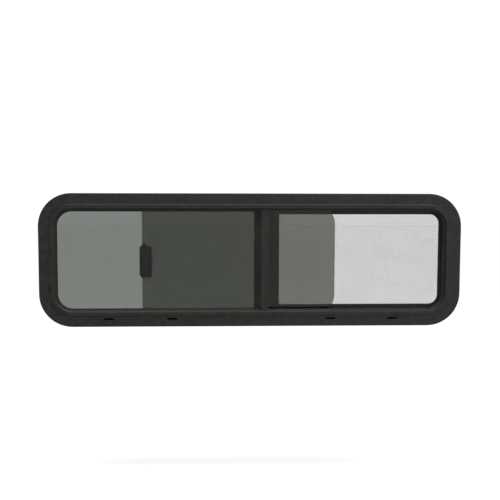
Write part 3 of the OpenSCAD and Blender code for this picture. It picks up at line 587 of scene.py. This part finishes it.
tree, size = start_tree("Cross recess screws", "Seats", "Head radius", "Head height", "Shank radius", "Shank length",
                        "Recess span", "Recess width", "Recess depth", "Facing", "Seed", "Finish")
disc = add(tree, "GeometryNodeMeshCircle", {"Vertices": HEAD_SIDES, "Radius": size["Head radius"]}, fill_type="NGON")
head, top = disc, True
for share, shrink in DOME:
    rise = add(tree, "ShaderNodeMath", {0: size["Head height"], 1: share}, operation="MULTIPLY")
    raised = add(tree, "GeometryNodeExtrudeMesh", {"Mesh": head, "Selection": top, "Offset Scale": rise}, mode="FACES")
    top = raised.outputs["Top"]
    head = add(tree, "GeometryNodeScaleElements", {"Geometry": raised, "Selection": top, "Scale": shrink})
underside = add(tree, "GeometryNodeFlipFaces", {"Mesh": disc})
closed = add(tree, "GeometryNodeMergeByDistance",
             {0: add(tree, "GeometryNodeJoinGeometry", {0: [head, underside]}), "Distance": WELD})
bar_depth = add(tree, "ShaderNodeMath", {0: size["Recess depth"], 1: 2.0}, operation="MULTIPLY")
bars = []
for wide, deep in (("Recess span", "Recess width"), ("Recess width", "Recess span")):
    bar = add(tree, "GeometryNodeMeshCube", {
        "Size": add(tree, "ShaderNodeCombineXYZ", {"X": size[wide], "Y": size[deep], "Z": bar_depth})})
    bars.append(add(tree, "GeometryNodeTransform", {
        0: bar, "Translation": add(tree, "ShaderNodeCombineXYZ", {"Z": size["Head height"]})}))
cut = add(tree, "GeometryNodeMeshBoolean", {"Mesh 1": closed, "Mesh 2": bars}, operation="DIFFERENCE", solver="EXACT")
shank = add(tree, "GeometryNodeMeshCylinder",
            {"Vertices": SHANK_SIDES, "Radius": size["Shank radius"], "Depth": size["Shank length"]})
below = add(tree, "ShaderNodeMath", {0: size["Shank length"], 1: -0.5}, operation="MULTIPLY")
shank = add(tree, "GeometryNodeTransform", {0: shank, "Translation": add(tree, "ShaderNodeCombineXYZ", {"Z": below})})
screw = add(tree, "GeometryNodeJoinGeometry", {0: [cut, shank]})
rounded = add(tree, "GeometryNodeSetShadeSmooth", {0: screw, "Shade Smooth": True})
crease = add(tree, "FunctionNodeCompare", {
    0: add(tree, "GeometryNodeInputMeshEdgeAngle"), 1: CREASE}, operation="GREATER_THAN")
creased = add(tree, "GeometryNodeSetShadeSmooth", {0: rounded, "Selection": crease, "Shade Smooth": False},
              domain="EDGE")
facing = add(tree, "ShaderNodeCombineXYZ", {"X": size["Facing"]})
set_in = add(tree, "GeometryNodeInstanceOnPoints", {"Points": size["Seats"], "Instance": creased, "Rotation": facing})
turn = add(tree, "FunctionNodeRandomValue", {2: 0.0, 3: math.pi / 2, "Seed": size["Seed"]}).outputs[1]
turned = add(tree, "GeometryNodeRotateInstances",
             {0: set_in, "Rotation": add(tree, "ShaderNodeCombineXYZ", {"Z": turn}), "Local Space": True})
end_tree(tree, turned, size["Finish"])
screw_tree = tree


def make_screws(name, node, body, seats, radius, height, shank, facing, seed):
    """Screws with crossed heads at these seats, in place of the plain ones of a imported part."""
    shank_radius, shank_length = shank
    screws = grow(name, screw_tree, {
        "Head radius": radius, "Head height": height, "Shank radius": shank_radius, "Shank length": shank_length,
        "Recess span": 1.15 * radius, "Recess width": 0.26 * radius, "Recess depth": 0.6 * height,
        "Facing": facing, "Seed": seed, "Finish": zinc}, seats)
    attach(screws, body)
    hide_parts(node)
    return screws


INDOORS, OUTDOORS = math.radians(-90), math.radians(90)
RING_HEAD, POST_HEAD, LATCH_HEAD = 4 * MM, 3.4 * MM, 2.6 * MM  # radii
RING_HEAD_HEIGHT = 2.4 * MM
RAIL_SEATS, JAMB_SEAT = (-480, -240, 0, 240, 480), 60  # mm from the middle

# The ring's screws stand over the frame's screw race: five along each rail and two up each jamb
low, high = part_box("clamp_ring_screws")
middle_z = (low.z + high.z) / 2
ring_face = high.y - RING_HEAD_HEIGHT
seats = [(x * MM, ring_face, z) for x in RAIL_SEATS for z in (low.z + RING_HEAD, high.z - RING_HEAD)]
seats += [(x, ring_face, middle_z + z * MM)
          for x in (low.x + RING_HEAD, high.x - RING_HEAD) for z in (-JAMB_SEAT, JAMB_SEAT)]
make_screws("ring_screws", "clamp_ring_screws", "fixed_frame", seats, RING_HEAD, RING_HEAD_HEIGHT,
            (1.95 * MM, ring_face - low.y), INDOORS, 3)

low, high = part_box("screen_post_screws")
seats = [((low.x + high.x) / 2, low.y, z) for z in (low.z + POST_HEAD, high.z - POST_HEAD)]
make_screws("post_screws", "screen_post_screws", "fixed_frame", seats, POST_HEAD, high.y - low.y,
            (1.7 * MM, 1 * MM), INDOORS, 5)

low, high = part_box("latch_screws")
seats = [((low.x + high.x) / 2, high.y, z) for z in (low.z + LATCH_HEAD, high.z - LATCH_HEAD)]
make_screws("latch_cross_screws", "latch_screws", "sliding_pane", seats, LATCH_HEAD, high.y - low.y,
            (1.2 * MM, 1 * MM), OUTDOORS, 9)

# %% [markdown]
# ## Floor and studio light
#
# The photo is a cut-out on white: no shadow and no horizon, and soft light from all round. A wide pale floor lies
# well below the window, which hangs as it would in a wall, and the studio is a white dome that the floor runs
# into. Black paint and dark glass mostly show reflections, and a real studio keeps those low with dark flags
# round the set. Here the dome itself is dimmer to reflected rays, a little brighter overhead and to the
# right, and the floor is left out of reflections.

# %% Floor and dome

FLOOR_DROP = 0.45
FLOOR_SIZE = 30.0
DOME_LIGHT = 1.06
REFLECTED_LOW, REFLECTED_HIGH = 0.1, 0.6
REFLECTED_TILT = 0.36

material, tree, shader, place = start_material("pale_floor")
speck = add(tree, "ShaderNodeTexNoise", {"Vector": place, "Scale": 3.0, "Detail": 2.0})
tone = add(tree, "ShaderNodeMix", {0: speck, 6: linear("#f8f8f7"), 7: linear("#fbfbfa")}, data_type="RGBA")
tree.links.new(tone.outputs[2], shader.inputs["Base Color"])
shader.inputs["Roughness"].default_value = 0.9
shader.inputs["Specular IOR Level"].default_value = 0.0
mesh = bpy.data.meshes.new("floor")
side = FLOOR_SIZE / 2
floor_z = cad_box[0].z - FLOOR_DROP
mesh.from_pydata([(-side, -side, floor_z), (side, -side, floor_z), (side, side, floor_z), (-side, side, floor_z)], [],
                 [(0, 1, 2, 3)])
mesh.materials.append(material)
floor = bpy.data.objects.new("floor", mesh)
scene.collection.objects.link(floor)
floor.visible_glossy = False

world = bpy.data.worlds.new("studio_dome")
scene.world = world
world.use_nodes = True
tree = world.node_tree
tree.nodes.clear()
direction = add(tree, "ShaderNodeSeparateXYZ", {0: add(tree, "ShaderNodeTexCoord").outputs["Generated"]})
overhead = add(tree, "ShaderNodeMapRange",
               {"Value": direction.outputs["Z"], 1: -1.0, 2: 1.0, 3: REFLECTED_LOW, 4: REFLECTED_HIGH})
sideways = add(tree, "ShaderNodeMath", {0: direction.outputs["X"], 1: REFLECTED_TILT}, operation="MULTIPLY")
reflected = add(tree, "ShaderNodeMath", {0: overhead, 1: sideways}, operation="ADD")
ray = add(tree, "ShaderNodeLightPath")
# Light that comes straight through glass counts as glossy too, and has to see the full dome
mirrored = add(tree, "ShaderNodeMath", {0: ray.outputs["Is Glossy Ray"], 1: ray.outputs["Is Transmission Ray"]},
               operation="SUBTRACT", use_clamp=True)
seen = add(tree, "ShaderNodeMix", {0: mirrored, 2: DOME_LIGHT, 3: reflected})
dome = add(tree, "ShaderNodeBackground", {"Color": linear("#ffffff"), "Strength": seen})
add(tree, "ShaderNodeOutputWorld", {"Surface": dome})
print(f"floor {FLOOR_DROP} m below the sill")

# %% [markdown]
# ## Softbox and camera
#
# One long softbox overhead draws the thin bright lines that the photo shows on the bead at the head and on the
# slope of the sill. The camera's place was solved from the photo: the frame's corners and edges at their real
# sizes give one position, a little left of the middle and above it, 2.3 m away, with a lens of about 58 mm.
# The film response stays plain, so that white paper comes out white as in the photo.

# %% Softbox and camera

CAMERA_PLACE = Vector((-0.102, -2.2985, 0.40075))
PITCH, YAW, ROLL = (math.radians(a) for a in (4.66, -2.42, 0.15))
LENS, SENSOR = 57.6, 36
SOFTBOX_LONG, SOFTBOX_WIDE = 3.2, 0.35
SOFTBOX_WATTS = 40.0
SOFTBOX_PLACE = (0.3, -0.35, 1.9)
SOFTBOX_TIP = math.radians(-12)

softbox = bpy.data.lights.new("overhead_softbox", "AREA")
softbox.shape = "RECTANGLE"
softbox.size, softbox.size_y = SOFTBOX_LONG, SOFTBOX_WIDE
softbox.energy = SOFTBOX_WATTS
lamp = bpy.data.objects.new("overhead_softbox", softbox)
lamp.location = SOFTBOX_PLACE
lamp.rotation_euler = (SOFTBOX_TIP, 0, 0)
scene.collection.objects.link(lamp)

level_right = Vector((math.cos(YAW), math.sin(YAW), 0))
forward = Vector((-math.sin(YAW) * math.cos(PITCH), math.cos(YAW) * math.cos(PITCH), -math.sin(PITCH)))
level_up = level_right.cross(forward)
right = level_right * math.cos(ROLL) + level_up * math.sin(ROLL)
up = level_up * math.cos(ROLL) - level_right * math.sin(ROLL)
lens = bpy.data.cameras.new("camera")
lens.lens, lens.sensor_width = LENS, SENSOR
camera = bpy.data.objects.new("camera", lens)
camera.matrix_world = Matrix.Translation(CAMERA_PLACE) @ Matrix((right, up, -forward)).transposed().to_4x4()
scene.collection.objects.link(camera)
scene.camera = camera
scene.view_settings.view_transform = "Standard"
print("camera looks along", [round(c, 3) for c in forward])
